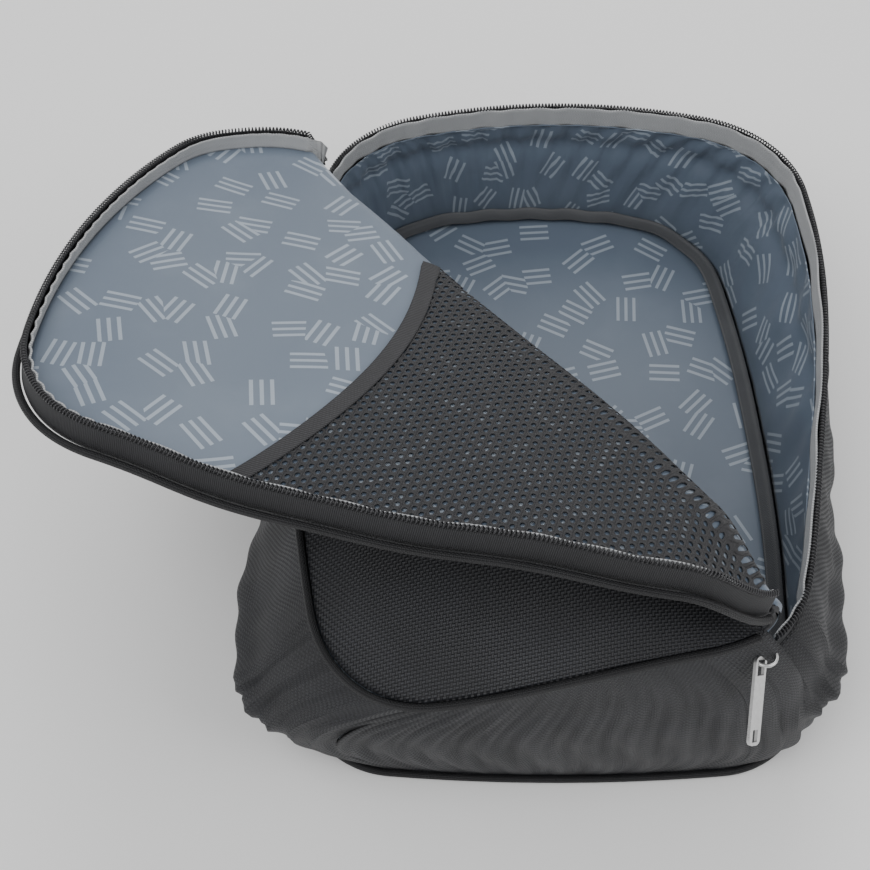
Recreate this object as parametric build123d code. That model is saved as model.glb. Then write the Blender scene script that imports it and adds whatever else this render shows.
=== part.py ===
"""Soft shoe bag with a zip-round lid, lying on its back panel, lid folded open.

Frame: X across the bag, +Y from the near end to the arched far end, +Z up.
The origin is in the middle of the back panel's resting face. The outlines are laid out
from the near edge, and main() carries every piece to the origin as it writes it.
The rim and the lid are laid out in a rim frame: its X is the bag's X, its Y runs along
the sloping rim, its Z (called height here) is square to the rim and 0 between the zips.
All sizes are in millimetres and degrees.
"""
from build123d import *
import math
import os

# ---- rim and lid outline
LENGTH = 338.0            # near edge to far edge
WIDTH = 246.0             # at the widest place
WIDEST_AT = 215.0         # how far along the widest place is
SIDE_RADIUS = 700.0
NEAR_EDGE_RADIUS = 900.0
FAR_EDGE_RADIUS = 280.0
NEAR_CORNER_RADIUS = 56.0
FAR_CORNER_RADIUS = 62.0
RIM_HEIGHT = 115.0        # rim above the floor at the near edge
RIM_SLOPE = 5.0           # the rim falls towards the far end

# ---- body
WALL_SIDE_RADIUS = 900.0  # of the back and the belly, which are nearly square at the near end
WALL_WIDEST_AT = 125.0
WALL_FAR_CORNER_RADIUS = 68.0
BACK_LENGTH = 334.0
BACK_WIDTH = 236.0
BACK_CORNER_RADIUS = 42.0
BELLY_WIDTH = 258.0       # the side walls bulge at half height
BELLY_CORNER_RADIUS = 34.0
BELLY_LENGTH = 337.0
BELLY_START = -6.0
BELLY_HEIGHT = 58.0
WALL = 2.0                # outer cloth of the gussets
LINING = 0.8
BACK_PANEL = 2.5
BOARD = 2.5               # stiffener in the back
BOARD_MARGIN = 9.0
END_SEAM_AT = 20.0        # the near gusset ends here
PIPING_RADIUS = 1.8
BINDING = 0.8
SEAM_BINDING_RADIUS = 2.5
SEAM_BINDING_MARGIN = 5.2  # from the side lining, where the wall leans

# ---- zip
TAPE = 1.0
TAPE_WIDTH = 11.0
TAPE_INSET = 0.6
COIL_RADIUS = 0.8
COIL_HEIGHT = 1.0         # coil centre above or below the parting plane
COIL_START_TURN = 8.0     # the coils start this far round the corner from the slider
STOP_LENGTH = 4.0
STOP_TURN = 0.4           # degrees along the side from the zip's end to the stop
ZIP_END_AT = 238.0        # upper end of the zip, on the left side
SLIDER_TURN = -60.0       # where the slider stands on the near right corner
SLIDER_LENGTH = 11.0
SLIDER_WIDTH = 8.0
SLIDER_PLATE = 1.6
BRIDGE_WIRE = 0.8         # radius
BRIDGE_SPAN = 9.0
BRIDGE_RISE = 4.5
PULL_LENGTH = 36.0
PULL_WIDTH = 7.2
PULL_THICKNESS = 1.4
PULL_EYE = (4.6, 6.4)     # width and length of the window that the bridge passes through
PULL_EYE_TOP = 2.0        # of which this much is above the pivot
PULL_WINDOW = (3.4, 5.0)
PULL_BAR = 1.4
PULL_PIVOT = 2.0          # how far up the bridge's leg it hangs
PULL_LEAN = 38.0          # lies along the wall, which widens downwards
PULL_SLANT = 35.0         # and slanted back along the zip

# ---- lid
LID_DEPTH = 13.0          # fold level above the parting plane
LID_CLOTH = 1.2
LID_FOAM = 2.0
MESH = 0.8
MARGIN = 3.0              # foam and lining stop this far inside the outline
FOLD_ANGLE = 166.0        # how far the flap is turned over
FOLD_DIRECTION = 126.0    # heading of the fold line from the slider, from +X
FOLD_RADIUS = 8.0         # of the roll of cloth, up to the fold level
FOLD_GAP = 3.0            # each side of the fold line
FOLD_RELIEF = 54.0        # flap layers stop this far from the slider
HEM_SIDE_AT = 226.0       # pocket hem at the sides and at its middle
HEM_MIDDLE_AT = 188.0
HEM_WIDTH = 7.0
HEM_THICKNESS = 0.9

# ---- handle and label
HANDLE_SPAN = 90.0        # between the places where the strap leaves the wall
HANDLE_WIDTH = 24.0
HANDLE_HEIGHT = 30.0
HANDLE_REACH = 20.0
STRAP = 2.4
PATCH = (24.0, 1.2, 30.0)  # sewn to the wall under each end of the strap
LABEL = (0.5, 12.0, 20.0)
LABEL_AT = 80.0           # how far along the right wall it hangs
LABEL_HEIGHT = 45.0
LABEL_OFF_WALL = 10.0

CLEAR = 0.3               # air between separate pieces
FAR_AWAY = 900.0


# ---- heights and insets that follow from the sizes above
COIL_INSET = TAPE_INSET + TAPE / 2
CLOTH_LOW = LID_DEPTH + LID_CLOTH
FOAM_LOW = CLOTH_LOW - CLEAR - LID_FOAM
LINING_LOW = FOAM_LOW - CLEAR - LINING
HEM_LOW = LINING_LOW - CLEAR - HEM_THICKNESS
SEWN_TOP = CLOTH_LOW - CLEAR
LINING_INSET = WALL + CLEAR
LINING_TOP = LINING_LOW - CLEAR
MESH_INSET = LINING_INSET + LINING + CLEAR


# ---------------------------------------------------------------- outlines
def polar(centre, radius, degrees):
    a = math.radians(degrees)
    return (centre[0] + radius * math.cos(a), centre[1] + radius * math.sin(a))


def heading(start, end):
    return math.degrees(math.atan2(end[1] - start[1], end[0] - start[0]))


def corner_centre(side, side_radius, edge, edge_radius, radius):
    """Centre of the corner arc that is tangent inside a side arc and an end arc."""
    a, b = side_radius - radius, edge_radius - radius
    gap = math.dist(side, edge)
    along = (a * a - b * b + gap * gap) / (2 * gap)
    across = math.sqrt(a * a - along * along)
    ux, uy = (edge[0] - side[0]) / gap, (edge[1] - side[1]) / gap
    options = [(side[0] + along * ux - s * across * uy, side[1] + along * uy + s * across * ux)
               for s in (-1, 1)]
    return max(options)


def right_arcs(width, length, near_corner, far_corner, side_radius, widest_at, start=0.0):
    """Arcs of the right half, from the near middle round to the far middle."""
    side = (width / 2 - side_radius, widest_at)
    near_edge = (0.0, start + NEAR_EDGE_RADIUS)
    far_edge = (0.0, length - FAR_EDGE_RADIUS)
    c = corner_centre(side, side_radius, near_edge, NEAR_EDGE_RADIUS, near_corner)
    f = corner_centre(side, side_radius, far_edge, FAR_EDGE_RADIUS, far_corner)
    turns = [-90, heading(near_edge, c), heading(side, c), heading(side, f),
             heading(far_edge, f), 90]
    centres = [near_edge, c, side, f, far_edge]
    radii = [NEAR_EDGE_RADIUS, near_corner, side_radius, far_corner, FAR_EDGE_RADIUS]
    return [(centres[i], radii[i], turns[i], turns[i + 1]) for i in range(5)]


def all_arcs(right):
    left = [((-c[0], c[1]), r, 180 - b, 180 - a) for c, r, a, b in reversed(right)]
    return right + left


RIM_ARCS = all_arcs(right_arcs(WIDTH, LENGTH, NEAR_CORNER_RADIUS, FAR_CORNER_RADIUS,
                               SIDE_RADIUS, WIDEST_AT))
BELLY_ARCS = all_arcs(right_arcs(BELLY_WIDTH, BELLY_LENGTH, BELLY_CORNER_RADIUS,
                                 WALL_FAR_CORNER_RADIUS, WALL_SIDE_RADIUS, WALL_WIDEST_AT,
                                 BELLY_START))
BACK_ARCS = all_arcs(right_arcs(BACK_WIDTH, BACK_LENGTH, BACK_CORNER_RADIUS,
                                WALL_FAR_CORNER_RADIUS, WALL_SIDE_RADIUS, WALL_WIDEST_AT))
RIM_FRAME = Location((0, 0, RIM_HEIGHT), (-RIM_SLOPE, 0, 0))
TO_ORIGIN = Pos(0, -BACK_LENGTH / 2, 0)


def arc_edge(centre, radius, a, b):
    points = [polar(centre, radius, t) for t in (a, (a + b) / 2, b)]
    return ThreePointArc(*points)


def wire(arcs, inset=0.0):
    return Wire([arc_edge(c, r - inset, a, b) for c, r, a, b in arcs])


def face(arcs, inset=0.0):
    return make_face(wire(arcs, inset).edges())


def slab(arcs, inset, low, high):
    return Pos(0, 0, low) * extrude(face(arcs, inset), high - low)


def band(arcs, outer, inner, low, high):
    """Upright ring between two insets of an outline."""
    return slab(arcs, outer, low, high) - slab(arcs, inner, low - 1, high + 1)


def on_rim(shape):
    return RIM_FRAME * shape


# ---------------------------------------------------------------- where the zip and the folds lie
CORNER, LEFT_SIDE = RIM_ARCS[1], RIM_ARCS[7]
SLIDER_AT = polar(CORNER[0], NEAR_CORNER_RADIUS, SLIDER_TURN)
ZIP_END_TURN = 180 - math.degrees(math.asin((ZIP_END_AT - WIDEST_AT) / SIDE_RADIUS))
ZIP_END = polar(LEFT_SIDE[0], SIDE_RADIUS, ZIP_END_TURN)


def zip_path(inset):
    """Rim arcs from the slider round the far end to the zip's upper end, as a wire."""
    arcs = list(RIM_ARCS[1:8])
    centre, radius, _, last = arcs[0]
    arcs[0] = (centre, radius, SLIDER_TURN + COIL_START_TURN, last)
    centre, radius, first, last = arcs[-1]
    arcs[-1] = (centre, radius, first, ZIP_END_TURN - 2 * STOP_TURN)
    return wire(arcs, inset)


def beyond(point, direction, shift=0.0):
    """Tall block over all that lies to the right of a line seen along its direction."""
    d = math.radians(direction)
    frame = Plane(origin=(point[0], point[1], 0), x_dir=(math.cos(d), math.sin(d), 0),
                  z_dir=(0, 0, 1))
    return frame * Pos(0, -FAR_AWAY / 2 - shift, 0) * Box(2 * FAR_AWAY, FAR_AWAY, FAR_AWAY)


ZIP_SIDE = beyond(SLIDER_AT, heading(SLIDER_AT, ZIP_END))
FLAP_SIDE = beyond(SLIDER_AT, FOLD_DIRECTION, FOLD_GAP)
SEWN_SIDE = beyond(SLIDER_AT, FOLD_DIRECTION + 180, FOLD_GAP)
RELIEF = Pos(SLIDER_AT[0], SLIDER_AT[1], 0) * Cylinder(FOLD_RELIEF, FAR_AWAY)


# a positive turn about this line opens the lid
FOLD_AXIS = Axis((*SLIDER_AT, LID_DEPTH + FOLD_RADIUS), (*polar((0, 0), -1, FOLD_DIRECTION), 0))


def folded(shape):
    """Carries a piece of the closed lid to where it lies once the flap is turned over."""
    return on_rim(shape.rotate(FOLD_AXIS, FOLD_ANGLE))


# ---------------------------------------------------------------- body
def shell(inset, top):
    """Solid block inside the wall surface at an inset, from the back up to the rim."""
    back = Pos(0, 0, BACK_PANEL + CLEAR) * wire(BACK_ARCS, inset)
    belly = Pos(0, 0, BELLY_HEIGHT) * wire(BELLY_ARCS, inset)
    low_rim = on_rim(Pos(0, 0, -LID_DEPTH) * wire(RIM_ARCS, inset))
    high_rim = on_rim(Pos(0, 0, top) * wire(RIM_ARCS, inset))
    return Solid.make_loft([back, belly, low_rim, high_rim], True)


def gussets(outer, inner, sewn_top):
    """Wall layer: lower along the zip, up to the lid where it is sewn to it."""
    layer = shell(outer, sewn_top) - shell(inner, sewn_top)
    zip_top = -(COIL_HEIGHT + COIL_RADIUS + TAPE_WIDTH + CLEAR)
    cut = on_rim(Pos(0, 0, zip_top + FAR_AWAY / 2) * ZIP_SIDE)
    return layer - cut


def near_part(shape):
    cutter = Pos(0, END_SEAM_AT - FAR_AWAY / 2, 0) * Box(FAR_AWAY, FAR_AWAY, FAR_AWAY)
    return shape & cutter, shape - cutter


def pipe(path, radius):
    """Round cord along a wire."""
    return sweep(Plane(origin=path @ 0, z_dir=path % 0) * Circle(radius), path=path)


def build_body():
    parts = {"back_panel": slab(BACK_ARCS, 0, 0, BACK_PANEL)}
    board = BACK_PANEL + CLEAR
    parts["back_board"] = slab(BACK_ARCS, BOARD_MARGIN, board, board + BOARD)
    top = board + BOARD + CLEAR
    parts["back_lining"] = slab(BACK_ARCS, BOARD_MARGIN, top, top + LINING)
    edge = wire(BACK_ARCS, -PIPING_RADIUS - CLEAR)
    parts["back_piping"] = Pos(0, 0, PIPING_RADIUS + CLEAR) * pipe(edge, PIPING_RADIUS)
    parts["end_gusset"], parts["side_gusset"] = near_part(gussets(0, WALL, SEWN_TOP))
    lining = gussets(LINING_INSET, LINING_INSET + LINING, LINING_TOP)
    parts["end_lining"], parts["side_lining"] = near_part(lining)
    seam_inset = LINING_INSET + LINING + SEAM_BINDING_RADIUS + SEAM_BINDING_MARGIN
    seam = wire(BACK_ARCS[2:8], seam_inset)
    seam_height = top + LINING + SEAM_BINDING_RADIUS + CLEAR
    parts["back_seam_binding"] = Pos(0, 0, seam_height) * pipe(seam, SEAM_BINDING_RADIUS)
    return parts


def build_rim():
    """Lower half of the zip on the rim of the body, and what edges it."""
    tape_top = COIL_HEIGHT + COIL_RADIUS + CLEAR
    tape = band(RIM_ARCS, TAPE_INSET, TAPE_INSET + TAPE, -tape_top - TAPE_WIDTH, -tape_top)
    inset = TAPE_INSET + TAPE + CLEAR
    edge = band(RIM_ARCS, inset, inset + BINDING, -tape_top - TAPE_WIDTH, -tape_top)
    coil = Pos(0, 0, -COIL_HEIGHT) * pipe(zip_path(COIL_INSET), COIL_RADIUS)
    stop_at = polar(LEFT_SIDE[0], SIDE_RADIUS - COIL_INSET, ZIP_END_TURN - STOP_TURN)
    stop = Pos(*stop_at, -COIL_HEIGHT) * Rot(0, 0, ZIP_END_TURN)
    turn = -math.degrees(math.asin((WALL_WIDEST_AT - LABEL_AT) / WALL_SIDE_RADIUS))
    wall = (BELLY_WIDTH / 2 - WALL_SIDE_RADIUS, WALL_WIDEST_AT)
    at = polar(wall, WALL_SIDE_RADIUS - LINING_INSET - LINING - LABEL_OFF_WALL, turn)
    return {
        "rim_zip_tape": on_rim(tape & ZIP_SIDE),
        "rim_binding": on_rim(edge & ZIP_SIDE),
        "rim_zip_coil": on_rim(coil),
        "zip_top_stop": on_rim(stop * Box(2 * COIL_RADIUS, STOP_LENGTH, 2 * COIL_RADIUS)),
        "care_label": Pos(*at, LABEL_HEIGHT) * Rot(0, 0, turn) * Box(*LABEL),
    }


def lid_layers(region):
    """Cloth, foam and lining of a part of the flat lid."""
    cloth = slab(RIM_ARCS, TAPE_INSET + CLEAR, CLOTH_LOW, CLOTH_LOW + LID_CLOTH)
    foam = slab(RIM_ARCS, MARGIN, FOAM_LOW, FOAM_LOW + LID_FOAM)
    lining = slab(RIM_ARCS, MARGIN, LINING_LOW, LINING_LOW + LINING)
    return [layer & region for layer in (cloth, foam, lining)]


def pocket_region(shift):
    """Everything on the near side of the sagging pocket hem, moved along by a shift."""
    half = WIDTH / 2
    hem = ThreePointArc((-half, HEM_SIDE_AT + shift), (0, HEM_MIDDLE_AT + shift),
                        (half, HEM_SIDE_AT + shift))
    sides = Polyline((half, HEM_SIDE_AT + shift), (half, -half), (-half, -half),
                     (-half, HEM_SIDE_AT + shift))
    return Pos(0, 0, -LENGTH / 2) * extrude(make_face([hem, *sides.edges()]), LENGTH)


def pocket(region):
    """Mesh and its elastic hem under a part of the flat lid."""
    mesh = slab(RIM_ARCS, MESH_INSET, LINING_LOW - CLEAR - MESH, LINING_LOW - CLEAR)
    ribbon = slab(RIM_ARCS, MESH_INSET, HEM_LOW, HEM_LOW + HEM_THICKNESS)
    ribbon = ribbon - pocket_region(-HEM_WIDTH)
    return mesh & region & pocket_region(-HEM_WIDTH - CLEAR), ribbon & region & pocket_region(0)


def lid_piping(region):
    edge = wire(RIM_ARCS, -PIPING_RADIUS - CLEAR)
    return Pos(0, 0, CLOTH_LOW) * pipe(edge, PIPING_RADIUS) & region


def build_sewn_lid():
    """The part of the lid that stays sewn to the near end and the lower left side."""
    cloth, foam, lining = lid_layers(SEWN_SIDE)
    mesh, _ = pocket(SEWN_SIDE)
    return {
        "lid_sewn_cloth": on_rim(cloth),
        "lid_sewn_foam": on_rim(foam),
        "lid_sewn_lining": on_rim(lining),
        "lid_sewn_mesh": on_rim(mesh),
        "lid_sewn_piping": on_rim(lid_piping(SEWN_SIDE)),
    }


def build_flap():
    """The part of the lid that the zip frees, with its half of the zip."""
    region = FLAP_SIDE - RELIEF
    cloth, foam, lining = lid_layers(region)
    mesh, hem = pocket(region)
    tape_low = COIL_HEIGHT + COIL_RADIUS + CLEAR
    tape = band(RIM_ARCS, TAPE_INSET, TAPE_INSET + TAPE, tape_low, CLOTH_LOW - CLEAR)
    inset = TAPE_INSET + TAPE + CLEAR
    edge = band(RIM_ARCS, inset, inset + BINDING, tape_low, LINING_LOW - CLEAR)
    coil = Pos(0, 0, COIL_HEIGHT) * pipe(zip_path(COIL_INSET), COIL_RADIUS)
    flat = {
        "flap_cloth": cloth, "flap_foam": foam, "flap_lining": lining,
        "flap_zip_tape": tape & region, "flap_zip_coil": coil & region,
        "flap_binding": edge & region, "flap_piping": lid_piping(region),
        "pocket_mesh": mesh, "pocket_hem": hem,
    }
    return {name: folded(shape) for name, shape in flat.items()}


# ---------------------------------------------------------------- slider and pull
def slider_frame(inset):
    """Frame on the rim at the slider: X along the zip, Y into the bag, Z up the wall."""
    at = polar(CORNER[0], NEAR_CORNER_RADIUS - inset, SLIDER_TURN)
    along = (*polar((0, 0), 1, SLIDER_TURN + 90), 0)
    return Plane(origin=(*at, 0), x_dir=along, z_dir=(0, 0, 1)).location


SLIDER_FRAME = slider_frame(COIL_INSET - COIL_RADIUS - 2 * CLEAR)
BRIDGE_FOOT = SLIDER_PLATE + BRIDGE_WIRE + CLEAR


def build_slider():
    inside = slider_frame(TAPE_INSET + TAPE + CLEAR + BINDING + LINING + 4 * CLEAR)
    plate = Box(SLIDER_LENGTH, SLIDER_PLATE, SLIDER_WIDTH)
    plate = fillet(plate.edges().filter_by(Axis.Y), SLIDER_WIDTH / 4)
    half = BRIDGE_SPAN / 2
    arch = ThreePointArc((-half, 0, 0), (0, -BRIDGE_RISE, 0), (half, 0, 0))
    bridge = Pos(0, -BRIDGE_FOOT, 0) * pipe(Wire(arch.edges()), BRIDGE_WIRE)
    return {
        "slider_plate": on_rim(SLIDER_FRAME * Pos(0, -SLIDER_PLATE / 2, 0) * plate),
        "slider_inner_plate": on_rim(inside * Pos(0, SLIDER_PLATE / 2, 0) * plate),
        "slider_bridge": on_rim(SLIDER_FRAME * bridge),
    }


def pull_pivot():
    """Where the bridge's leg passes through the eye of the pull."""
    half = BRIDGE_SPAN / 2
    leg = -math.sqrt(half * half - PULL_PIVOT * PULL_PIVOT)
    return Vector(leg, -BRIDGE_FOOT - PULL_PIVOT, 0)


def pull_frame():
    """Frame at the pull's pivot: X across the pull, Y down its length."""
    lean, slant = math.radians(PULL_LEAN), math.radians(PULL_SLANT)
    across = Vector(math.cos(slant), 0, -math.sin(slant))
    down = Vector(-math.sin(slant) * math.cos(lean), -math.sin(lean),
                  -math.cos(slant) * math.cos(lean))
    return Plane(origin=pull_pivot(), x_dir=across, z_dir=across.cross(down)).location


def build_pull():
    """Long flat pull: an eye round the bridge's leg at the top, a small window at the foot."""
    top = PULL_EYE_TOP + PULL_BAR
    plate = Pos(0, PULL_LENGTH / 2 - top, 0) * Box(PULL_WIDTH, PULL_LENGTH, PULL_THICKNESS)
    plate = fillet(plate.edges().filter_by(Axis.Z), PULL_WIDTH / 3)
    foot = PULL_LENGTH - top - PULL_BAR - PULL_WINDOW[1] / 2
    eye = Pos(0, PULL_EYE[1] / 2 - PULL_EYE_TOP, 0) * Box(*PULL_EYE, 2 * PULL_THICKNESS)
    window = Pos(0, foot, 0) * Box(*PULL_WINDOW, 2 * PULL_THICKNESS)
    return {"pull_tab": on_rim(SLIDER_FRAME * pull_frame() * (plate - eye - window))}


# ---------------------------------------------------------------- handle
def on_far_wall(across, outward, height):
    """Frame on the far wall: X along it, Y out of it, at a distance outside its face."""
    turn = math.degrees(math.asin(across / FAR_EDGE_RADIUS))
    share = (height - BACK_PANEL) / (BELLY_HEIGHT - BACK_PANEL)
    reach = FAR_EDGE_RADIUS + share * (BELLY_LENGTH - BACK_LENGTH) + outward
    at = polar((0, BACK_LENGTH - FAR_EDGE_RADIUS), reach, 90 - turn)
    lean = math.degrees(math.atan2(BELLY_LENGTH - BACK_LENGTH, BELLY_HEIGHT - BACK_PANEL))
    return Pos(*at, height) * Rot(0, 0, -turn) * Rot(-lean, 0, 0)


def build_handle():
    """Webbing carry strap bowed out from the far end, its tails sewn over two patches."""
    parts = {}
    middle = on_far_wall(0, 0, HANDLE_HEIGHT).position.Y
    half = HANDLE_SPAN / 2
    line = on_far_wall(half, PATCH[1] + 2 * CLEAR + STRAP / 2, HANDLE_HEIGHT).position.Y
    top = middle + HANDLE_REACH
    outer = ThreePointArc((-half, line), (0, top), (half, line))
    inner = ThreePointArc((-half + STRAP, line), (0, top - STRAP), (half - STRAP, line))
    ends = [Line((s * half, line), (s * (half - STRAP), line)) for s in (-1, 1)]
    strap = extrude(make_face([outer, inner, *ends]), HANDLE_WIDTH)
    strap = Pos(0, 0, HANDLE_HEIGHT - HANDLE_WIDTH / 2) * strap
    for side, name in ((1, "handle_patch_right"), (-1, "handle_patch_left")):
        at = side * (half + PATCH[0] / 2 - 2 * STRAP)
        parts[name] = on_far_wall(at, PATCH[1] / 2 + CLEAR, HANDLE_HEIGHT) * Box(*PATCH)
        tail = Box(PATCH[0] - STRAP, STRAP, HANDLE_WIDTH)
        strap += on_far_wall(at, PATCH[1] + STRAP / 2 + 2 * CLEAR, HANDLE_HEIGHT) * tail
    parts["handle_strap"] = strap
    return parts


def joint_lines():
    """Prints each joint's point and axis at rest, in metres and unit vectors."""
    fold = Line(FOLD_AXIS.position, FOLD_AXIS.position + FOLD_AXIS.direction)
    turn = Pos(*CORNER[0], 0) * Line((0, 0, 0), (0, 0, 1))
    swing = Line(pull_pivot(), pull_pivot() + Vector(0, -1, 0))
    lines = {"lid_fold": fold, "slider_travel": turn, "pull_swing": SLIDER_FRAME * swing}
    for name, line in lines.items():
        line = TO_ORIGIN * on_rim(line)
        point, axis = line @ 0, line % 0
        print(name, "at", [round(v / 1000, 6) for v in point], "axis", [round(v, 6) for v in axis])


def main():
    os.makedirs("parts", exist_ok=True)
    parts = {**build_body(), **build_rim(), **build_sewn_lid(), **build_flap(),
             **build_slider(), **build_pull(), **build_handle()}
    for name, shape in parts.items():
        export_step(TO_ORIGIN * shape, f"parts/{name}.step")
    joint_lines()


main()
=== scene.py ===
# %% [markdown]
# # A soft shoe bag with a zip-round lid
# The bag lies on its back panel with its lid turned over along a diagonal. The solid model gives the
# sizes and what moves; this script builds the cloth around it. Every soft piece is a grid of points
# worked out from the bag's outlines and given a thickness; the pieces on the bag's body are told which
# body they move with, the lid's pieces are not.

# %% Load the frame
import bpy
import math
import numpy as np
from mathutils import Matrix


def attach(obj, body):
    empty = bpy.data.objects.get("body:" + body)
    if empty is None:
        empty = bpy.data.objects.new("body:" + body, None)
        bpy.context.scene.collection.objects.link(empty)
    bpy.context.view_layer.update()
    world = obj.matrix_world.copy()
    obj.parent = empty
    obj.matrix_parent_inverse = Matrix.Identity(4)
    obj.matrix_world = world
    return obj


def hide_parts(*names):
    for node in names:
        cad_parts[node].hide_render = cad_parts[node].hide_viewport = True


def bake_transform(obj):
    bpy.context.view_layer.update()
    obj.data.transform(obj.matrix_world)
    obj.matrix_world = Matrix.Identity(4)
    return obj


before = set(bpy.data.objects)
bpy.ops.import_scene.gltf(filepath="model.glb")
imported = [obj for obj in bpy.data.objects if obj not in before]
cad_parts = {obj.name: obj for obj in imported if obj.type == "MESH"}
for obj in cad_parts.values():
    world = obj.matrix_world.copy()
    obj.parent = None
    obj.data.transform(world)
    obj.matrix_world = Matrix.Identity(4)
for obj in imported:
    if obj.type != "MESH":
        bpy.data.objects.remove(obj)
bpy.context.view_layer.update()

# %% [markdown]
# ## Outlines
# The rim, the belly and the back panel are rings of ten tangent arcs: edge, corner, side,
# corner, edge, and the same mirrored. One number t from 0 to 10 runs round a ring, so the
# same t on two rings gives two points to stretch cloth between. Sizes are in millimetres,
# measured from the near edge of the bag.

# %% Driving sizes
RIM = dict(width=246, length=338, near_corner=56, far_corner=62, side=700, widest=215, start=0)
BELLY = dict(width=258, length=337, near_corner=34, far_corner=68, side=900, widest=125, start=-6)
BACK = dict(width=236, length=334, near_corner=42, far_corner=68, side=900, widest=125, start=0)
NEAR_EDGE, FAR_EDGE = 900, 280
RIM_HEIGHT, RIM_SLOPE, MIDDLE = 115, math.radians(5), 167
SLIDER_TURN, FOLD_TURN, FOLD_HEADING = -60, math.radians(166), math.radians(126)
LID_TOP, FOLD_HEIGHT, ZIP_END_AT = 15, 21, 238
TAPE_TOP, TAPE_LOW = -2.1, -13.1


# %% Rings of arcs
def corner_centre(side, side_radius, edge, edge_radius, radius):
    a, b, gap = side_radius - radius, edge_radius - radius, math.dist(side, edge)
    along = (a * a - b * b + gap * gap) / (2 * gap)
    across = math.sqrt(a * a - along * along)
    ux, uy = (edge[0] - side[0]) / gap, (edge[1] - side[1]) / gap
    return max((side[0] + along * ux - s * across * uy, side[1] + along * uy + s * across * ux)
               for s in (-1, 1))


def heading(start, end):
    return math.atan2(end[1] - start[1], end[0] - start[0])


def ring(width, length, near_corner, far_corner, side, widest, start):
    s, n, f = (width / 2 - side, widest), (0, start + NEAR_EDGE), (0, length - FAR_EDGE)
    c = corner_centre(s, side, n, NEAR_EDGE, near_corner)
    d = corner_centre(s, side, f, FAR_EDGE, far_corner)
    turns = [-math.pi / 2, heading(n, c), heading(s, c), heading(s, d), heading(f, d), math.pi / 2]
    radii = [NEAR_EDGE, near_corner, side, far_corner, FAR_EDGE]
    right = [(p, r, turns[i], turns[i + 1]) for i, (p, r) in enumerate(zip([n, c, s, d, f], radii))]
    left = [((-p[0], p[1]), r, math.pi - b, math.pi - a) for p, r, a, b in reversed(right)]
    return right + left


RINGS = {name: ring(**sizes) for name, sizes in (("rim", RIM), ("belly", BELLY), ("back", BACK))}


def outline(name, t, inset=0.0):
    """Points of a ring at the numbers t, moved inwards by an inset."""
    t = np.mod(np.asarray(t, float), 10)
    k = t.astype(int)
    table = np.array([[c[0], c[1], r, a, b] for c, r, a, b in RINGS[name]])[k]
    turn = table[..., 3] + (t - k) * (table[..., 4] - table[..., 3])
    reach = table[..., 2] - inset
    return table[..., 0] + reach * np.cos(turn), table[..., 1] + reach * np.sin(turn)


def even(name, first, last, count):
    """Numbers t from first to last, evenly spaced along the cloth."""
    t = np.linspace(first, last, 4000)
    x, y = outline(name, t)
    run = np.r_[0, np.cumsum(np.hypot(np.diff(x), np.diff(y)))]
    return np.interp(np.linspace(0, run[-1], count), run, t), np.linspace(0, run[-1], count)


# %% Where the slider, the zip's end and the fold lie
def smooth(x):
    x = np.clip(x, 0, 1)
    return x * x * (3 - 2 * x)


corner = RINGS["rim"][1]
T_SLIDER = 1 + (math.radians(SLIDER_TURN) - corner[2]) / (corner[3] - corner[2])
SLIDER = np.array([float(v) for v in outline("rim", T_SLIDER)])
ALONG = np.array([math.cos(FOLD_HEADING), math.sin(FOLD_HEADING)])
OVER = np.array([ALONG[1], -ALONG[0]])
rim_t = np.linspace(5, 8, 3000)
rim_x, rim_y = outline("rim", rim_t)
fold_side = (rim_x - SLIDER[0]) * OVER[0] + (rim_y - SLIDER[1]) * OVER[1]
T_FOLD = float(rim_t[np.argmin(np.abs(fold_side))])
T_ZIP_END = float(rim_t[(rim_t > 6.5)][np.argmin(np.abs(rim_y[rim_t > 6.5] - ZIP_END_AT))])
fold_end = np.array([float(v) for v in outline("rim", T_FOLD)])
FOLD_LENGTH = float(np.dot(fold_end - SLIDER, ALONG))
print("fold", round(FOLD_LENGTH), "mm, zip from", round(T_SLIDER, 2), "to", round(T_ZIP_END, 2))


# %% From the rim's own frame to the bag, and to metres
def on_rim(x, y, h):
    c, s = math.cos(RIM_SLOPE), math.sin(RIM_SLOPE)
    return np.stack([x, y * c + h * s, RIM_HEIGHT - y * s + h * c], -1)


def settle(p):
    """Cloth that is slumped by its own weight: the far rim leans right, the belly left."""
    x, y, z = p[..., 0], p[..., 1], p[..., 2]
    lean = 11 * smooth((y - 90) / 170) * smooth(z / RIM_HEIGHT)
    slump = 9 * (1 - smooth((y - 20) / 150)) * np.exp(-((z - 58) / 30) ** 2)
    return np.stack([x + lean - slump, y, z], -1)


def metres(p):
    return (p - np.array([0, MIDDLE, 0])) / 1000


# %% [markdown]
# ## Cloth as a grid
# A sheet of cloth is a grid of points with a second grid a thickness away, joined round the
# border. That is the Solidify modifier done by hand, which keeps the mesh final and lets
# the cloth's own measured length and width become its UV map, so the weave stays at its
# real scale wherever the cloth bends.

# %% Grid of points to a closed piece of cloth
def mesh_object(name, verts, faces, uvs, material):
    mesh = bpy.data.meshes.new(name)
    mesh.from_pydata([tuple(v) for v in verts], [], faces)
    layer = mesh.uv_layers.new(name="cloth")
    loops = np.zeros(len(mesh.loops), np.int32)
    mesh.loops.foreach_get("vertex_index", loops)
    layer.data.foreach_set("uv", np.asarray(uvs, np.float32)[loops].ravel())
    mesh.polygons.foreach_set("use_smooth", [True] * len(mesh.polygons))
    mesh.materials.append(material)
    obj = bpy.data.objects.new(name, mesh)
    bpy.context.scene.collection.objects.link(obj)
    return obj


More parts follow.
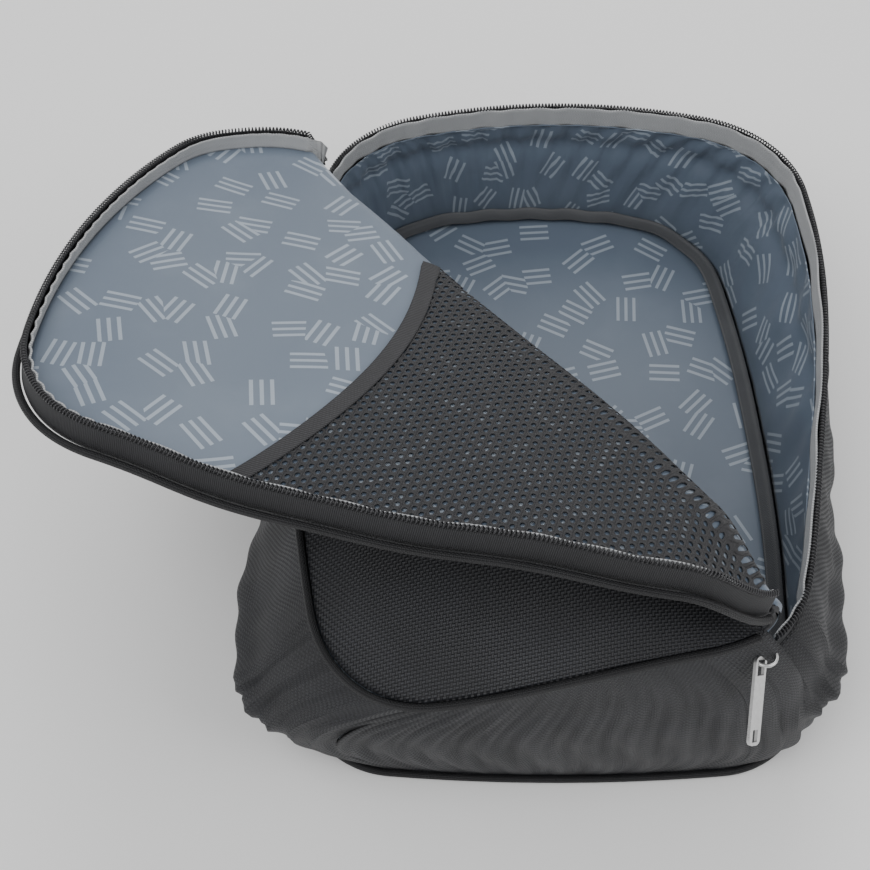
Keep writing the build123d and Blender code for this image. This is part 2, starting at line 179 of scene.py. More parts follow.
def grid_normals(p):
    n = np.cross(np.gradient(p, axis=0), np.gradient(p, axis=1))
    size = np.linalg.norm(n, axis=-1, keepdims=True)
    return n / np.maximum(size, 1e-12)


def measured_uv(p):
    """Metres along and across the cloth, from its middle row and column."""
    across = np.linalg.norm(np.diff(p, axis=1), axis=-1)
    along = np.linalg.norm(np.diff(p, axis=0), axis=-1)
    u = np.r_[0, np.cumsum(along[:, p.shape[1] // 2])][:, None] + np.zeros(p.shape[1])
    v = np.c_[np.zeros(p.shape[0]), np.cumsum(across, axis=1)]
    return np.stack([u, v], -1)


def cloth(name, p, thickness, material, uv=None):
    """A closed sheet, thickness in millimetres, from a grid of points in metres."""
    uv = measured_uv(p) if uv is None else uv
    rows, columns = p.shape[:2]
    half = grid_normals(p) * thickness / 2000
    verts = np.concatenate([(p + half).reshape(-1, 3), (p - half).reshape(-1, 3)])
    k = np.arange(rows * columns).reshape(rows, columns)
    quads = np.stack([k[:-1, :-1], k[1:, :-1], k[1:, 1:], k[:-1, 1:]], -1).reshape(-1, 4)
    border = np.r_[k[0, :-1], k[:-1, -1], k[-1, :0:-1], k[:0:-1, 0]]
    following = np.roll(border, -1)
    far = rows * columns
    sides = np.stack([border, following, following + far, border + far], -1)
    faces = np.concatenate([quads, quads[:, ::-1] + far, sides]).tolist()
    return mesh_object(name, verts, faces, np.concatenate([uv.reshape(-1, 2)] * 2), material)


def tube(name, path, radius, material, sides=8, flat=1.0):
    """A cord along a path in metres; flat below 1 squashes it."""
    ahead = np.gradient(path, axis=0)
    ahead /= np.linalg.norm(ahead, axis=-1, keepdims=True)
    side = np.cross(ahead, [0, 0, 1])
    side /= np.maximum(np.linalg.norm(side, axis=-1, keepdims=True), 1e-9)
    rise = np.cross(side, ahead)
    a = np.linspace(0, 2 * math.pi, sides, endpoint=False)
    ringed = side[:, None] * np.cos(a)[:, None] + rise[:, None] * np.sin(a)[:, None] * flat
    verts = (path[:, None] + ringed * radius / 1000).reshape(-1, 3)
    k = np.arange(len(path) * sides).reshape(len(path), sides)
    nxt = np.roll(k, -1, axis=1)
    faces = np.stack([k[:-1], k[1:], nxt[1:], nxt[:-1]], -1).reshape(-1, 4)[:, ::-1].tolist()
    faces += [k[0].tolist(), k[-1, ::-1].tolist()]
    run = np.r_[0, np.cumsum(np.linalg.norm(np.diff(path, axis=0), axis=-1))]
    uv = np.stack([np.repeat(run, sides), np.tile(a * radius / 1000, len(path))], -1)
    return mesh_object(name, verts, faces, uv, material)


# %% [markdown]
# ## Shader sums as plain sums
# Weaves are arithmetic on the cloth's UV map. Wiring Math nodes by hand is hard to read, so
# a small class wraps a socket and lets the weave be written as an expression.

# %% Expressions on sockets
class Value:
    def __init__(self, tree, socket):
        self.tree, self.socket = tree, socket

    def math(self, operation, *others):
        node = self.tree.nodes.new("ShaderNodeMath")
        node.operation = operation
        for i, item in enumerate(others):
            if isinstance(item, Value):
                self.tree.links.new(item.socket, node.inputs[i])
            else:
                node.inputs[i].default_value = item
        return Value(self.tree, node.outputs[0])

    def __add__(self, other):
        return self.math("ADD", self, other)

    def __radd__(self, other):
        return self.math("ADD", other, self)

    def __sub__(self, other):
        return self.math("SUBTRACT", self, other)

    def __rsub__(self, other):
        return self.math("SUBTRACT", other, self)

    def __mul__(self, other):
        return self.math("MULTIPLY", self, other)

    def __rmul__(self, other):
        return self.math("MULTIPLY", other, self)

    def __gt__(self, other):
        return self.math("GREATER_THAN", self, other)

    def __abs__(self):
        return self.math("ABSOLUTE", self)

    def sin(self):
        return self.math("SINE", self)

    def cos(self):
        return self.math("COSINE", self)

    def fraction(self):
        return self.math("FRACT", self)


# %% One material at a time
class Finish:
    """A material with a principled shader; roughness, metal and sheen set on its sockets."""

    def __init__(self, name, roughness=0.6, metallic=0.0, sheen=0.0):
        self.material = bpy.data.materials.new(name)
        self.material.use_nodes = True
        self.tree = self.material.node_tree
        self.shader = self.tree.nodes["Principled BSDF"]
        for socket, value in (("Roughness", roughness), ("Metallic", metallic), ("Sheen Weight", sheen)):
            self.shader.inputs[socket].default_value = value

    def node(self, kind, settings=None, **sockets):
        node = self.tree.nodes.new(kind)
        for key, value in (settings or {}).items():
            setattr(node, key, value)
        for key, value in sockets.items():
            socket = node.inputs[key.replace("_", " ")]
            if isinstance(value, Value):
                self.tree.links.new(value.socket, socket)
            else:
                socket.default_value = value
        return node

    def value(self, socket):
        return Value(self.tree, socket)

    def cloth_uv(self):
        uv = self.node("ShaderNodeUVMap", {"uv_map": "cloth"})
        split = self.node("ShaderNodeSeparateXYZ", Vector=self.value(uv.outputs["UV"]))
        return self.value(split.outputs["X"]), self.value(split.outputs["Y"])

    def space(self):
        return self.value(self.node("ShaderNodeTexCoord").outputs["Object"])

    def noise(self, scale, detail=3.0):
        made = self.node("ShaderNodeTexNoise", Vector=self.space(), Scale=scale, Detail=detail)
        return self.value(made.outputs["Factor" if "Factor" in made.outputs else "Fac"])

    def colour(self, factor, low, high):
        mix = self.node("ShaderNodeMix", {"data_type": "RGBA"})
        self.tree.links.new(factor.socket, mix.inputs["Factor"])
        mix.inputs[6].default_value = (*low, 1)
        mix.inputs[7].default_value = (*high, 1)
        self.tree.links.new(mix.outputs[2], self.shader.inputs["Base Color"])

    def bump(self, height, distance, strength=0.8):
        made = self.node("ShaderNodeBump", Height=height, Distance=distance, Strength=strength)
        self.tree.links.new(made.outputs["Normal"], self.shader.inputs["Normal"])

    def rough(self, value):
        self.tree.links.new(value.socket, self.shader.inputs["Roughness"])


# %% [markdown]
# ## Cloths
# The outer cloth is a heavy basket weave of shiny black yarn. Sines along the two yarn directions,
# swapped in a chequer, give rounded yarns that pass over and under; their colour rises with their height,
# a painted highlight on the yarn crowns. The tapes are herringbones: stripes whose slant turns back at
# regular steps.

# %% Weave, herringbone and rib
TURN = 2 * math.pi


def weave(name, period, dark, light, roughness=0.55, distance=0.0004):
    f = Finish(name, roughness)
    u, v = f.cloth_uv()
    over = (u * (TURN / period)).sin() * (v * (TURN / period)).sin() > 0
    yarn_u = abs((v * (TURN / period)).sin())
    yarn_v = abs((u * (TURN / period)).sin())
    height = over * yarn_u + (1 - over) * yarn_v
    # Painted highlight: the colour goes from dark to light with the yarn's height, and the yarn on top in
    # each chequer square is lighter still, so the crowns carry painted sheen.
    f.colour(height * (0.55 + 0.9 * (f.noise(40) - 0.5)) * (0.6 + 0.4 * over), dark, light)
    f.bump(height, distance)
    f.rough(roughness + 0.3 * (f.noise(25) - 0.5))
    return f.material


def herringbone(name, step, slant, dark, light):
    f = Finish(name, 0.75, sheen=0.2)
    u, v = f.cloth_uv()
    zig = abs((v * (1 / step)).fraction() - 0.5)
    stripe = abs(((u * (1 / slant)) + zig * (2 * step / slant)).fraction() - 0.5) * 2
    f.colour(stripe * 0.85 + 0.3 * (f.noise(60) - 0.5), dark, light)
    f.bump(stripe, 0.0003)
    return f.material


def ribbed(name, period, dark, light, roughness=0.7):
    f = Finish(name, roughness)
    u, _ = f.cloth_uv()
    rib = abs((u * (math.pi / period)).sin())
    f.colour(rib * 0.8 + 0.3 * (f.noise(50) - 0.5), dark, light)
    f.bump(rib, 0.0003)
    return f.material


def grained(name, dark, light, scale, roughness, metallic=0.0, distance=0.0001):
    f = Finish(name, roughness, metallic)
    grain = f.noise(scale, 5)
    f.colour(grain, dark, light)
    f.bump(grain, distance, 0.4)
    f.rough(roughness + 0.25 * (f.noise(scale / 6) - 0.5))
    return f.material


# %% [markdown]
# ## The printed lining
# The lining is a blue-grey satin with groups of short parallel lines, each group at its own
# slant. A Voronoi texture splits the cloth into cells and gives every cell a random colour;
# one channel of that becomes the slant, and the lines are stripes across it near the middle.

# %% Printed satin
PRINT_CELLS = 46.0     # groups of lines per metre


def printed_satin(name):
    f = Finish(name, 0.4, sheen=0.1)
    uv = f.value(f.node("ShaderNodeUVMap", {"uv_map": "cloth"}).outputs["UV"])
    cells = f.node("ShaderNodeTexVoronoi", {"voronoi_dimensions": "2D"}, Vector=uv, Scale=PRINT_CELLS)
    scaled = f.node("ShaderNodeVectorMath", {"operation": "SCALE"}, Vector=uv, Scale=PRINT_CELLS)
    away = f.node("ShaderNodeVectorMath", {"operation": "SUBTRACT"})
    f.tree.links.new(scaled.outputs[0], away.inputs[0])
    centre = f.node("ShaderNodeVectorMath", {"operation": "SCALE"},
                    Vector=f.value(cells.outputs["Position"]), Scale=PRINT_CELLS)
    f.tree.links.new(centre.outputs[0], away.inputs[1])
    split = f.node("ShaderNodeSeparateXYZ", Vector=f.value(away.outputs[0]))
    x, y = f.value(split.outputs["X"]), f.value(split.outputs["Y"])
    random = f.value(f.node("ShaderNodeSeparateColor", Color=f.value(cells.outputs["Color"])).outputs[0])
    slant = random * TURN
    along, across = x * slant.cos() + y * slant.sin(), y * slant.cos() - x * slant.sin()
    lines = ((across * 32).sin() > 0.35) * (0.36 - abs(along) > 0) * (0.3 - abs(across) > 0)
    f.colour(lines * 0.8 + 0.3 * (f.noise(30) - 0.5), (0.115, 0.15, 0.2), (0.34, 0.39, 0.45))
    u, v = f.cloth_uv()
    f.bump((u * (TURN / 0.0006)).sin() * (v * (TURN / 0.0004)).sin(), 0.00005, 0.3)
    return f.material


# For the outer cloth and the piping the second colour is the painted highlight on the yarn crowns.
OUTER = weave("outer_cloth", 0.0024, (0.002, 0.002, 0.003), (0.04, 0.043, 0.052))
PIPING = weave("piping_cloth", 0.0015, (0.002, 0.002, 0.003), (0.025, 0.026, 0.03))
TAPE = ribbed("zip_tape", 0.0008, (0.006, 0.006, 0.007), (0.035, 0.036, 0.04))
ELASTIC = ribbed("elastic", 0.0012, (0.006, 0.006, 0.007), (0.045, 0.045, 0.05))
BINDING = herringbone("binding_cloth", 0.004, 0.0014, (0.25, 0.26, 0.27), (0.6, 0.61, 0.62))
# Painted shade: the seam binding is grey herringbone tape whose colours are darkened to stand in for the
# shadow it lies in inside the bag.
SEAM_PAINTED_SHADE = herringbone("seam_binding_cloth", 0.004, 0.0014, (0.02, 0.022, 0.026), (0.12, 0.125, 0.135))
SATIN = printed_satin("lining_cloth")
FOAM = grained("foam", (0.03, 0.03, 0.032), (0.09, 0.09, 0.095), 900, 0.9)
BOARD = grained("board", (0.12, 0.1, 0.08), (0.25, 0.21, 0.17), 400, 0.85)
MESH = grained("pocket_mesh_cloth", (0.004, 0.004, 0.005), (0.03, 0.03, 0.034), 1500, 0.6)
COIL = grained("zip_coil", (0.008, 0.008, 0.009), (0.04, 0.04, 0.045), 300, 0.35)
METAL = grained("pull_metal", (0.5, 0.5, 0.5), (0.72, 0.72, 0.72), 700, 0.3, 1.0, 0.00003)
LABEL = grained("label_cloth", (0.7, 0.69, 0.66), (0.85, 0.84, 0.82), 1200, 0.7)
WEBBING = grained("webbing", (0.006, 0.006, 0.007), (0.05, 0.05, 0.055), 900, 0.7, 0.0, 0.0004)
print("materials", len(bpy.data.materials))


# %% [markdown]
# ## What each sheet was cut to
# A sheet's cut size comes from the bag's flat outlines, never from the bent mesh. For the lid and the
# floor the flat coordinates are the cut; a wall is a strip, as long as its ring and as wide as the
# straight way up through the rings.

# %% Cut sizes from flat coordinates
def cut_from_flat(uv):
    """(width, length, area) of a flat grid's border, in metres."""
    border = np.concatenate([uv[0, :-1], uv[:-1, -1], uv[-1, :0:-1], uv[:0:-1, 0]])
    x, y = border[:, 0], border[:, 1]
    area = abs(np.dot(x, np.roll(y, -1)) - np.dot(y, np.roll(x, -1))) / 2
    width, length = np.ptp(x), np.ptp(y)
    return float(width), float(length), float(area)


def strip_cut(width, length):
    """A ribbon or wall strip, millimetres in, metres out."""
    return width / 1000, length / 1000, width * length / 1e6


# %% Parent a piece to its body, or bake a lid piece in place, and hide the solid nodes it replaces
def piece(obj, body, nodes=(), cut=None):
    if body == "lid":
        blend_lid(obj)
    else:
        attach(obj, body)
    if nodes:
        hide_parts(*nodes)
    print(obj.name, len(obj.data.polygons), "faces")
    return obj


# %% [markdown]
# ## Walls
# The gussets run from the back panel out to the belly and in to the rim. A curve through
# the three rings makes the bulge; a narrow outward ridge at half height is where the soft
# wall buckles under the lid's weight, and slow sines are its folds.

# %% Wall surface
BUCKLE_AT, BUCKLE_LENGTH = 43, 45


def in_zip(t):
    """1 where the zip runs, 0 where the lid is sewn down."""
    return smooth((t - T_SLIDER) / 0.1) * (1 - smooth((t - T_ZIP_END) / 0.03))


def droop(t):
    """How much the sewn lid edge has slid over the near wall, 0 to 1."""
    x, y = outline("rim", t)
    near = 1 - smooth((y - 10) / 130)
    return near * smooth((SLIDER[0] - x) / 160) * (1 - in_zip(np.mod(t, 10)))


DROOP = np.array([-4, -14, -30])


def wall(t, v, inset):
    t, v = np.meshgrid(t, v, indexing="ij")
    zipped = in_zip(np.mod(t, 10))
    top = TAPE_LOW + 1 + (LID_TOP - 1 - TAPE_LOW - 1) * (1 - zipped)
    back, belly = outline("back", t, inset), outline("belly", t, inset)
    rim = on_rim(*outline("rim", t, inset), top)
    low = np.stack([*back, 2.8 + 0 * v], -1)
    mid = np.stack([*belly, 58 + 0 * v], -1)
    v3 = v[..., None]
    p = low * 2 * (v3 - .5) * (v3 - 1) - mid * 4 * v3 * (v3 - 1) + rim * 2 * v3 * (v3 - .5)
    p = p + DROOP * (droop(t) * v ** 2)[..., None]
    out = np.stack(outline("belly", t, -1), -1) - np.stack(outline("belly", t), -1)
    along = outline("belly", t)[1]
    near = np.exp(-((along - BUCKLE_AT) / BUCKLE_LENGTH) ** 2)
    ridge = (2.5 + 7 * near) * np.exp(-((v - 0.5) / 0.09) ** 2) * smooth((along + 4) / 24)
    run = t * 40
    folds = np.sin(run * 0.7 + 5 * v) + 0.6 * np.sin(run * 1.9 - 9 * v + 1)
    push = ridge + 1.1 * folds * np.sin(math.pi * np.clip(v, 0, 1))
    p[..., :2] += out * push[..., None]
    return metres(settle(p))


def wall_cut(t, inset, zipped):
    """The wall's strip: the belly ring's length by the mean straight way up the rings."""
    top = TAPE_LOW + 1 if zipped else LID_TOP - 1
    low = np.stack([*outline("back", t, inset), 2.8 + 0 * t], -1)
    mid = np.stack([*outline("belly", t, inset), 58 + 0 * t], -1)
    rim = on_rim(*outline("rim", t, inset), top)
    height = np.linalg.norm(mid - low, axis=-1) + np.linalg.norm(rim - mid, axis=-1)
    run = np.linalg.norm(np.diff(mid, axis=0), axis=-1).sum()
    return strip_cut(float(height.mean()), float(run))


# %% Outer gussets and wall lining
NEAR_SEAM = 0.93
side_t, _ = even("belly", NEAR_SEAM, 10 - NEAR_SEAM, 420)
end_t = np.linspace(-NEAR_SEAM, NEAR_SEAM, 120)
rise = np.linspace(0, 1, 48)
for part, t, zipped in (("side", side_t, True), ("end", end_t, False)):
    piece(cloth("gusset_" + part + "_shell", wall(t, rise, 1), 1.6, OUTER), "bag_body",
          [part + "_gusset"], wall_cut(t, 1, zipped))
    piece(cloth("wall_lining_" + part, wall(t, rise * 0.95 + 0.03, 4.5), 0.6, SATIN), "bag_body",
          [part + "_lining"], wall_cut(t, 4.5, zipped))


# %% Back panel, its lining, piping and seam binding
def floor_sheet(inset, z, bumps=0.0):
    t, _ = even("back", 0, 10, 240)
    w = np.linspace(0.02, 1, 60)
    x, y = outline("back", t, inset)
    p = np.stack([x[:, None] * w, MIDDLE + (y[:, None] - MIDDLE) * w, z + 0 * x[:, None] * w], -1)
    p[..., 2] += bumps * np.sin(p[..., 0] / 17) * np.sin(p[..., 1] / 23 + 1)
    return metres(p)


for name, inset, z, bumps, thick, material, node, slot in (
        ("back_panel_shell", 0, 1.3, 0, 2.4, OUTER, "back_panel", "outer_cloth"),
        ("back_floor_lining", 9, 7.4, 0.4, 0.7, SATIN, "back_lining", "lining_cloth")):
    points = floor_sheet(inset, z, bumps)
    flat_uv = points[..., :2].copy()
    ring_cut = flat_uv[:, -1]
    piece(cloth(name, points, thick, material, flat_uv), "bag_body", [node],
          cut_from_flat(np.stack([ring_cut, ring_cut.mean(0) + 0 * ring_cut], 1)))
loop_t, _ = even("back", 0, 10, 500)
bottom = np.stack([*outline("back", loop_t, -1.6), 2.0 + 0 * loop_t], -1)
piece(tube("back_piping_cord", metres(bottom), 1.7, PIPING), "bag_body", ["back_piping"])
seam_t, _ = even("back", 2, 8, 400)
seam = np.stack([*outline("back", seam_t, 9.5), 11.5 + 0.6 * np.sin(seam_t * 14)], -1)
# The seam binding's dark colour is painted shade, not the tape's own colour.
piece(tube("seam_binding_roll", metres(seam), 4, SEAM_PAINTED_SHADE, 10, 0.5), "bag_body",
      ["back_seam_binding"])


# %% [markdown]
# ## Rim zip
# The zip's tape stands on the rim with its coil on top. The coil is one nylon thread wound
# round and round, so it is a helix with the zip's own pitch. Inside the tape runs a light
# herringbone binding, a little wavy where it was eased round the corners.

# %% Tape, binding and coil round the rim
COIL_PITCH, COIL_TURN = 0.0017, 0.0011     # metres
THREAD = 0.42                              # radius of the coil's thread
zip_t, zip_run = even("rim", T_SLIDER + 0.15, T_ZIP_END, 600)


def rim_strip(inset, low, high, wave=0.0):
    h = np.linspace(low, high, 8)
    t, h = np.meshgrid(zip_t, h, indexing="ij")
    ripple = wave * np.sin(t * 26) * np.sin(t * 7 + 1)
    return metres(settle(on_rim(*outline("rim", t, inset + ripple), h)))


def coil(name, centre, pitch, radius, body, nodes):
    """A helix of thread round a path in metres."""
    run = np.r_[0, np.cumsum(np.linalg.norm(np.diff(centre, axis=0), axis=-1))]
    steps = int(run[-1] / pitch * 8)
    s = np.linspace(0, run[-1], steps)
    path = np.stack([np.interp(s, run, centre[:, i]) for i in range(3)], -1)
    ahead = np.gradient(path, axis=0)
    ahead /= np.linalg.norm(ahead, axis=-1, keepdims=True)
    side = np.cross(ahead, [0, 0, 1])
    side /= np.maximum(np.linalg.norm(side, axis=-1, keepdims=True), 1e-9)
    a = (s / pitch * TURN)[:, None]
    path = path + (side * np.cos(a) + np.cross(side, ahead) * np.sin(a)) * radius
    return piece(tube(name, path, THREAD, COIL, 5), body, nodes)


piece(cloth("rim_tape_band", rim_strip(1, TAPE_LOW, TAPE_TOP), 0.9, TAPE), "bag_body",
      ["rim_zip_tape"], strip_cut(TAPE_TOP - TAPE_LOW, zip_run[-1]))
piece(cloth("rim_binding_band", rim_strip(2.8, TAPE_LOW, TAPE_TOP + 0.6, 0.7), 0.8, BINDING), "bag_body",
      ["rim_binding"], strip_cut(TAPE_TOP + 0.6 - TAPE_LOW, zip_run[-1]))
rim_line = metres(settle(on_rim(*outline("rim", zip_t, 1.1), -1.2 + 0 * zip_t)))
coil("rim_coil_helix", rim_line, COIL_PITCH, COIL_TURN, "bag_body", ["rim_zip_coil"])


# %% [markdown]
# ## Lid
# The lid is one stack of cloth, foam, lining and mesh. Part of it is sewn down; the rest is
# turned over along a diagonal from the slider. Cloth can't crease to nothing, so between
# the two parts it makes a roll, fat near the slider where the zip holds it up. The roll is
# a Hermite curve from the sewn part's direction to the turned part's direction. All layers
# use the same map and sit at their own distance from the outer cloth.

# %% The lid's map from flat cloth to its turned-over place
def half_roll(a):
    return np.clip(np.minimum(0.25 * a, 0.25 * (FOLD_LENGTH - a)), 0.4, 11)


def sewn_height(reach, a):
    lift = 7 * np.exp(-((a - 110) / 70) ** 2) * smooth(reach / 60)
    return LID_TOP + 13 * (1 - (1 - np.clip(reach / 60, 0, 1)) ** 2) + lift


def sewn_width(a):
    return 0.5 * np.minimum(np.clip(a, 0, None), np.clip(FOLD_LENGTH - a, 0, None))


def turned(a, d):
    """Where the turned-over cloth lies: across the fold and up, in the rim's frame."""
    c, s = math.cos(FOLD_TURN), math.sin(FOLD_TURN)
    depth = LID_TOP - FOLD_HEIGHT
    r = np.hypot(a, d)
    lift = 24 * smooth(r / 45) * np.exp(-(np.clip(r - 70, 0, None) / 110) ** 2)
    lift = lift - 10 * smooth((r - 240) / 110)
    return d * c - depth * s, FOLD_HEIGHT + d * s + depth * c + lift


def flap_point(a, d, off):
    """A point of the flap, off millimetres towards the lining from the outer cloth."""
    g = half_roll(a)
    u = np.clip((d + g) / (2 * g), 0, 1)
    start_h = sewn_height(sewn_width(a), a)
    end_n, end_h = turned(a, g)
    pull = 2.2 * g + 0.9 * np.abs(end_h - start_h)
    h00, h10, h01, h11 = 2*u**3 - 3*u**2 + 1, u**3 - 2*u**2 + u, 3*u**2 - 2*u**3, u**3 - u**2
    tn, th = math.cos(FOLD_TURN), math.sin(FOLD_TURN)
    n = h00 * -g + h10 * pull + h01 * end_n + h11 * pull * tn
    h = h00 * start_h + h01 * end_h + h11 * pull * th
    dn = (6*u*u - 6*u) * -g + (3*u*u - 4*u + 1) * pull + (6*u - 6*u*u) * end_n + (3*u*u - 2*u) * pull * tn
    dh = (6*u*u - 6*u) * start_h + (6*u - 6*u*u) * end_h + (3*u*u - 2*u) * pull * th
    size = np.maximum(np.hypot(dn, dh), 1e-9)
    flat_n, flat_h = turned(a, np.maximum(d, g))
    out = d > g
    n, h = np.where(out, flat_n, n), np.where(out, flat_h, h)
    nn, nh = np.where(out, th, dh / size), np.where(out, -tn, -dn / size)
    soft = 1.3 * np.sin(a / 21 + d / 34) * np.sin(d / 27 + 1) * smooth((d - g) / 40)
    n, h = n + nn * (off + soft), h + nh * (off + soft)
    x = SLIDER[0] + a * ALONG[0] + n * OVER[0]
    y = SLIDER[1] + a * ALONG[1] + n * OVER[1]
    return metres(on_rim(x, y, h))


def fold_numbers(x, y):
    dx, dy = x - SLIDER[0], y - SLIDER[1]
    return dx * ALONG[0] + dy * ALONG[1], dx * OVER[0] + dy * OVER[1]


# %% The hinge roll's level and tilt; a lid piece only has its transform baked
ROLL_AT, ROLL_HEIGHT, ROLL_HALF = 110, 41.0, 7
level = on_rim(SLIDER[0] + ROLL_AT * ALONG[0], SLIDER[1] + ROLL_AT * ALONG[1], ROLL_HEIGHT)
tilt = math.radians(7)
up = on_rim(OVER[0] * math.sin(tilt), OVER[1] * math.sin(tilt), math.cos(tilt)) - on_rim(0, 0, 0)


def blend_lid(obj):
    low, high = metres(level - up * ROLL_HALF), metres(level + up * ROLL_HALF)
    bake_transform(obj)


# %% Sewn part of the lid
def sewn_grid(inset, off, reach_from=0.0):
    t, _ = even("rim", T_SLIDER, T_FOLD - 10, 220)
    x, y = outline("rim", t, inset)
    q = np.linspace(0, 1, len(t))
    a = FOLD_LENGTH * q
    g = half_roll(a)
    cx, cy = SLIDER[0] + a * ALONG[0] - g * OVER[0], SLIDER[1] + a * ALONG[1] - g * OVER[1]
    w = np.linspace(reach_from, 1, 56)
    px = x[:, None] + (cx - x)[:, None] * w
    py = y[:, None] + (cy - y)[:, None] * w
    reach = sewn_width(a)[:, None] * w
    h = sewn_height(reach, a[:, None]) - off
    folds = 1.2 * np.sin(px / 16 + py / 31) * np.sin(py / 19) * np.sin(math.pi * w)
    p = on_rim(px, py, h + folds)
    p = p + DROOP * (droop(t)[:, None] * (1 - w) ** 2)[..., None]
    return metres(p), np.stack([px, py], -1) / 1000


def flap_grid(inset, off, columns=90):
    t, _ = even("rim", T_SLIDER + 0.02, T_FOLD, 260)
    fa, fd = fold_numbers(*outline("rim", t, inset))
    q = np.linspace(0, 1, len(t))
    a = FOLD_LENGTH * np.clip(q, 0.002, 0.998)
    g = half_roll(a)
    w = np.linspace(0, 1, columns) ** 1.5
    ga = a[:, None] + (fa - a)[:, None] * w
    gd = -g[:, None] + (fd + g)[:, None] * w
    return flap_point(ga, gd, off), np.stack([ga, gd], -1) / 1000


for layer, off, inset, thick, material, slot, foam in (
        ("cloth", 0.0, 1, 1.2, OUTER, "outer_cloth", False),
        ("foam", 2.0, 4, 1.8, FOAM, "foam", True),
        ("lining", 4.0, 3, 0.7, SATIN, "lining_cloth", False)):
    points, uv = sewn_grid(inset, off)
    piece(cloth("lid_sewn_" + layer + "_sheet", points, thick, material, uv), "bag_body",
          ["lid_sewn_" + layer], cut_from_flat(uv))
    points, uv = flap_grid(inset, off)
    piece(cloth("flap_" + layer + "_sheet", points, thick, material, uv), "lid",
          ["flap_" + layer], cut_from_flat(uv))


# %% [markdown]
# ## What edges the lid
# The flap is a shallow tray: its zip tape stands up all round with the coil along the top,
# a light binding covers the seam inside, and covered piping runs round the fold of the edge.

# %% Flap zip, binding and piping
FLAP_TAPE, COIL_OFF = (1, 12.4), 13.2      # how far the tape and the coil stand off the cloth
edge_t, edge_run = even("rim", T_SLIDER + 0.06, T_ZIP_END, 600)


def flap_strip(inset, low, high, wave=0.0):
    off = np.linspace(low, high, 8)
    a, d = fold_numbers(*outline("rim", edge_t, inset))
    ripple = wave * np.sin(edge_t * 30)[:, None] * np.linspace(0, 1, 8)
    return flap_point(a[:, None] + 0 * off, d[:, None] - np.abs(ripple), off[None, :] + 0 * a[:, None])


piece(cloth("flap_tape_band", flap_strip(1, *FLAP_TAPE), 0.9, TAPE), "lid",
      ["flap_zip_tape"], strip_cut(FLAP_TAPE[1] - FLAP_TAPE[0], edge_run[-1]))
piece(cloth("flap_binding_band", flap_strip(3.2, 4.5, 12.0, 1.2), 0.8, BINDING), "lid",
      ["flap_binding"])
ea, ed = fold_numbers(*outline("rim", edge_t, 1.1))
coil("flap_coil_helix", flap_point(ea, ed, COIL_OFF + 0 * ea), COIL_PITCH, COIL_TURN, "lid",
     ["flap_zip_coil"])
pipe_t, _ = even("rim", T_SLIDER + 0.06, T_FOLD, 500)
pa, pd = fold_numbers(*outline("rim", pipe_t, -1.6))
piece(tube("flap_piping_cord", flap_point(pa, pd, 0 * pa), 1.7, PIPING), "lid",
      ["flap_piping"])
sewn_edge = sewn_grid(-1.4, 0)[0][2:, 0]
piece(tube("lid_piping_cord", sewn_edge, 1.8, PIPING), "bag_body", ["lid_sewn_piping"])


# %% [markdown]
# ## Mesh pocket
# The pocket is warp-knit mesh with staggered oval holes, through which the lining shines.
# The holes are cut in the mesh itself: every cell is a ring of eight quads round an oval,
# and rows are shifted by half a cell so that corners meet the middles of the next row.

# %% Cells with oval holes
CELL, HOLE = (4.2, 3.4), (1.35, 1.05)
HEM_SIDE, HEM_MIDDLE, HEM_WIDTH = 226, 188, 7


def hem_at(x):
    return HEM_MIDDLE + (HEM_SIDE - HEM_MIDDLE) * (x / (RIM["width"] / 2)) ** 2


def mesh_cells(keep):
    outer = np.array([(-1, -1), (0, -1), (1, -1), (1, 0), (1, 1), (0, 1), (-1, 1), (-1, 0)])
    angles = np.arctan2(outer[:, 1], outer[:, 0])
    oval = np.stack([np.cos(angles) * HOLE[0], np.sin(angles) * HOLE[1]], -1)
    square = outer * np.array(CELL) / 2
    verts, faces = [], []
    for j in range(int(HEM_SIDE / CELL[1])):
        for i in range(-30, 31):
            middle = np.array([(i + 0.5 * (j % 2)) * CELL[0], 6 + j * CELL[1]])
            if not keep(*middle):
                continue
            k = len(verts)
            verts += (middle + square).tolist() + (middle + oval).tolist()
            faces += [(k + n, k + (n + 1) % 8, k + 8 + (n + 1) % 8, k + 8 + n) for n in range(8)]
    return np.array(verts), faces


def half_width(y):
    t = np.linspace(0.5, 4.5, 400)
    x, yy = outline("rim", t, 5)
    order = np.argsort(yy)
    return float(np.interp(y, yy[order], x[order]))


def in_pocket(x, y):
    _, d = fold_numbers(x, y)
    return d > 3 and abs(x) < half_width(y) and y < hem_at(x) - HEM_WIDTH + 1


flat_cells, cell_faces = mesh_cells(in_pocket)
ca, cd = fold_numbers(flat_cells[:, 0], flat_cells[:, 1])
shown = flap_point(ca, cd, 5.0 + 0 * ca)
net = mesh_object("pocket_net", shown, cell_faces, flat_cells / 1000, MESH)
thicken = net.modifiers.new("yarn", "SOLIDIFY")
thicken.thickness = 0.0005
piece(net, "lid", ["pocket_mesh"])

# %% Elastic hem and the unseen mesh under the sewn part
hem_x = np.linspace(-118, 117, 200)
hem_x = hem_x[[in_pocket(x, hem_at(x) - HEM_WIDTH - 1) for x in hem_x]]
hem_w = np.linspace(-HEM_WIDTH, 1, 10)
hx = hem_x[:, None] + 0 * hem_w
ha, hd = fold_numbers(hx, hem_at(hx) + hem_w)
piece(cloth("pocket_hem_band", flap_point(ha, hd, 5.6 + 0 * ha), 0.9, ELASTIC), "lid",
      ["pocket_hem"])
points, uv = sewn_grid(5, 5.4, 0.1)
piece(cloth("lid_sewn_net", points, 0.5, MESH, uv), "bag_body",
      ["lid_sewn_mesh"], cut_from_flat(uv))


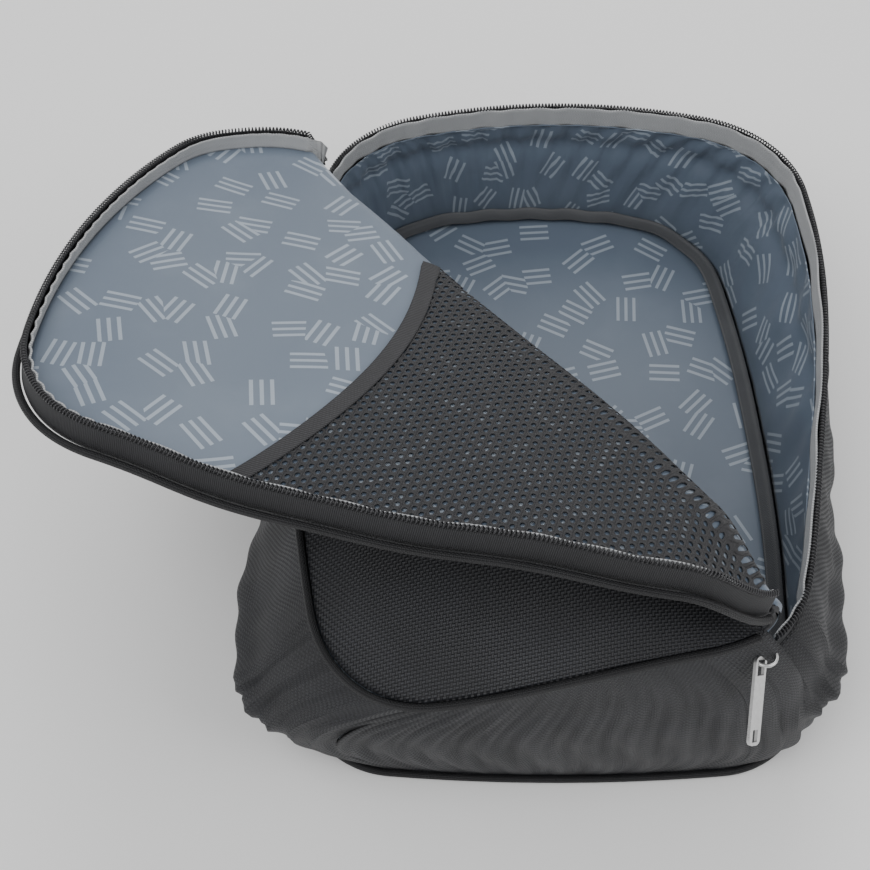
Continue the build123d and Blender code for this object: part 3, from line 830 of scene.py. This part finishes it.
# %% [markdown]
# ## Hardware and what keeps its solid
# The slider, its bridge, the pull, the strap and the label are the right shape already, so
# they only need their finish.

# %% Finishes on carried-over nodes
for node, material in (("slider_plate", METAL), ("slider_inner_plate", METAL), ("slider_bridge", METAL),
                       ("pull_tab", METAL), ("zip_top_stop", METAL), ("care_label", LABEL),
                       ("handle_strap", WEBBING), ("handle_patch_left", WEBBING),
                       ("handle_patch_right", WEBBING), ("back_board", BOARD)):
    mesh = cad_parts[node].data
    mesh.materials.clear()
    mesh.materials.append(material)

# %% [markdown]
# ## Stage
# A pale floor, one large soft light above and two weaker ones, as on a product table.

# %% Floor, lights, camera
floor_mesh = bpy.data.meshes.new("floor")
floor_mesh.from_pydata([(-4, -4, 0), (4, -4, 0), (4, 4, 0), (-4, 4, 0)], [], [(0, 1, 2, 3)])
floor_finish = Finish("floor", 0.8)
floor_finish.shader.inputs["Base Color"].default_value = (0.9, 0.9, 0.9, 1)
floor_mesh.materials.append(floor_finish.material)
floor = bpy.data.objects.new("floor", floor_mesh)
bpy.context.scene.collection.objects.link(floor)
floor.location.z = -0.0005
for name, place, power, size in (("key", (-0.8, -0.6, 1.6), 15, 1.2), ("fill", (1.1, -0.5, 1.2), 7, 1.0),
                                 ("back", (0.1, 1.1, 1.2), 9, 1.0)):
    light = bpy.data.lights.new(name, "AREA")
    light.energy, light.size = power, size
    lamp = bpy.data.objects.new(name, light)
    bpy.context.scene.collection.objects.link(lamp)
    lamp.location = place
    lamp.rotation_euler = (-lamp.location).to_track_quat("-Z", "Y").to_euler()
world = bpy.data.worlds.new("studio")
world.use_nodes = True
world.node_tree.nodes["Background"].inputs["Color"].default_value = (1, 1, 1, 1)
world.node_tree.nodes["Background"].inputs["Strength"].default_value = 0.6
bpy.context.scene.world = world
lens = bpy.data.cameras.new("camera")
lens.lens, lens.sensor_width = 68.65, 36
camera = bpy.data.objects.new("camera", lens)
bpy.context.scene.collection.objects.link(camera)
camera.location = (-0.0547, -0.4469, 0.7168)
camera.rotation_euler = (math.radians(33), 0, 0)
bpy.context.scene.camera = camera
